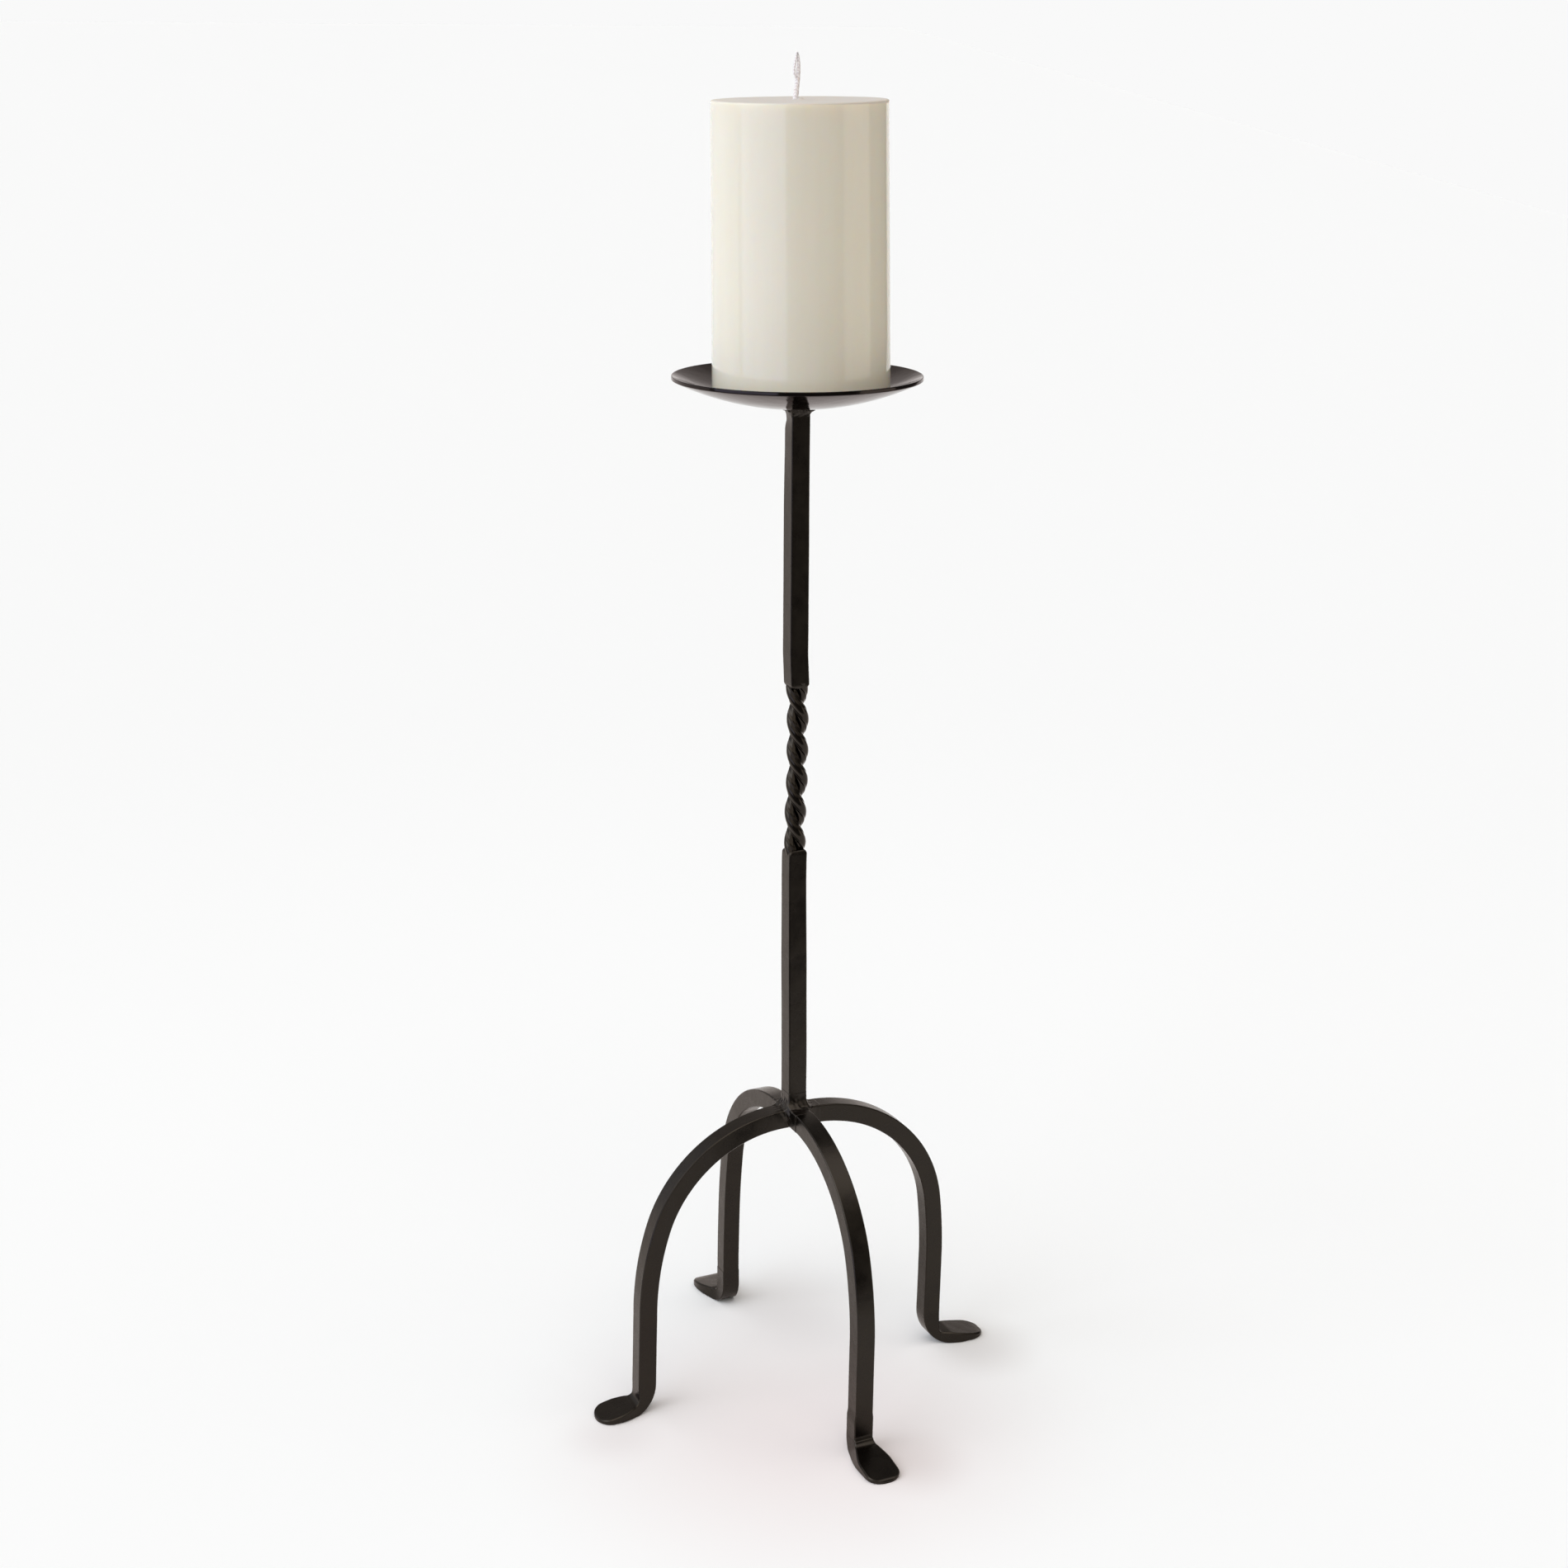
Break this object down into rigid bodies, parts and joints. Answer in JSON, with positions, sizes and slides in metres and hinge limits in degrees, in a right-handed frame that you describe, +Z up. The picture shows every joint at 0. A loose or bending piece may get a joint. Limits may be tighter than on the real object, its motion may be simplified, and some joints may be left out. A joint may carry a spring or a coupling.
{
  "type": "torchere candle stand",
  "caption": "Black iron candle stand: a dished drip pan on a square stem with a twist, on arched legs with flattened feet, holding a pillar candle.",
  "frame": {"origin": "on the floor, on the axis of the stem, midway between the four feet", "axes": "+Z up along the stem; the legs point along -X, -Y, +X and +Y; the picture is taken from between the -X and -Y legs, nearer to -Y"},
  "size_m": [0.2084, 0.2084, 0.6153],
  "materials": {
    "black_iron": "satin black coat on forged iron bar",
    "black_pan": "glossier black coat on pressed sheet",
    "ivory_wax": "smooth ivory paraffin wax with a soft gloss",
    "cotton_wick": "unburnt waxed cotton braid"
  },
  "bodies": {
    "stand": {"drip_pan": "black_pan", "pan_weld": "black_iron", "upper_stem": "black_iron", "twist_strand_a": "black_iron", "twist_strand_b": "black_iron", "lower_stem": "black_iron", "left_leg": "black_iron", "front_leg": "black_iron", "right_leg": "black_iron", "back_leg": "black_iron", "leg_welds": "black_iron"},
    "candle": {"candle": "ivory_wax", "wick": "cotton_wick"}
  },
  "joints": [
    {"name": "candle_lift", "type": "slide", "parent": "stand", "child": "candle", "axis": [0, 0, 1], "range_m": [0, 0.1]}
  ]
}
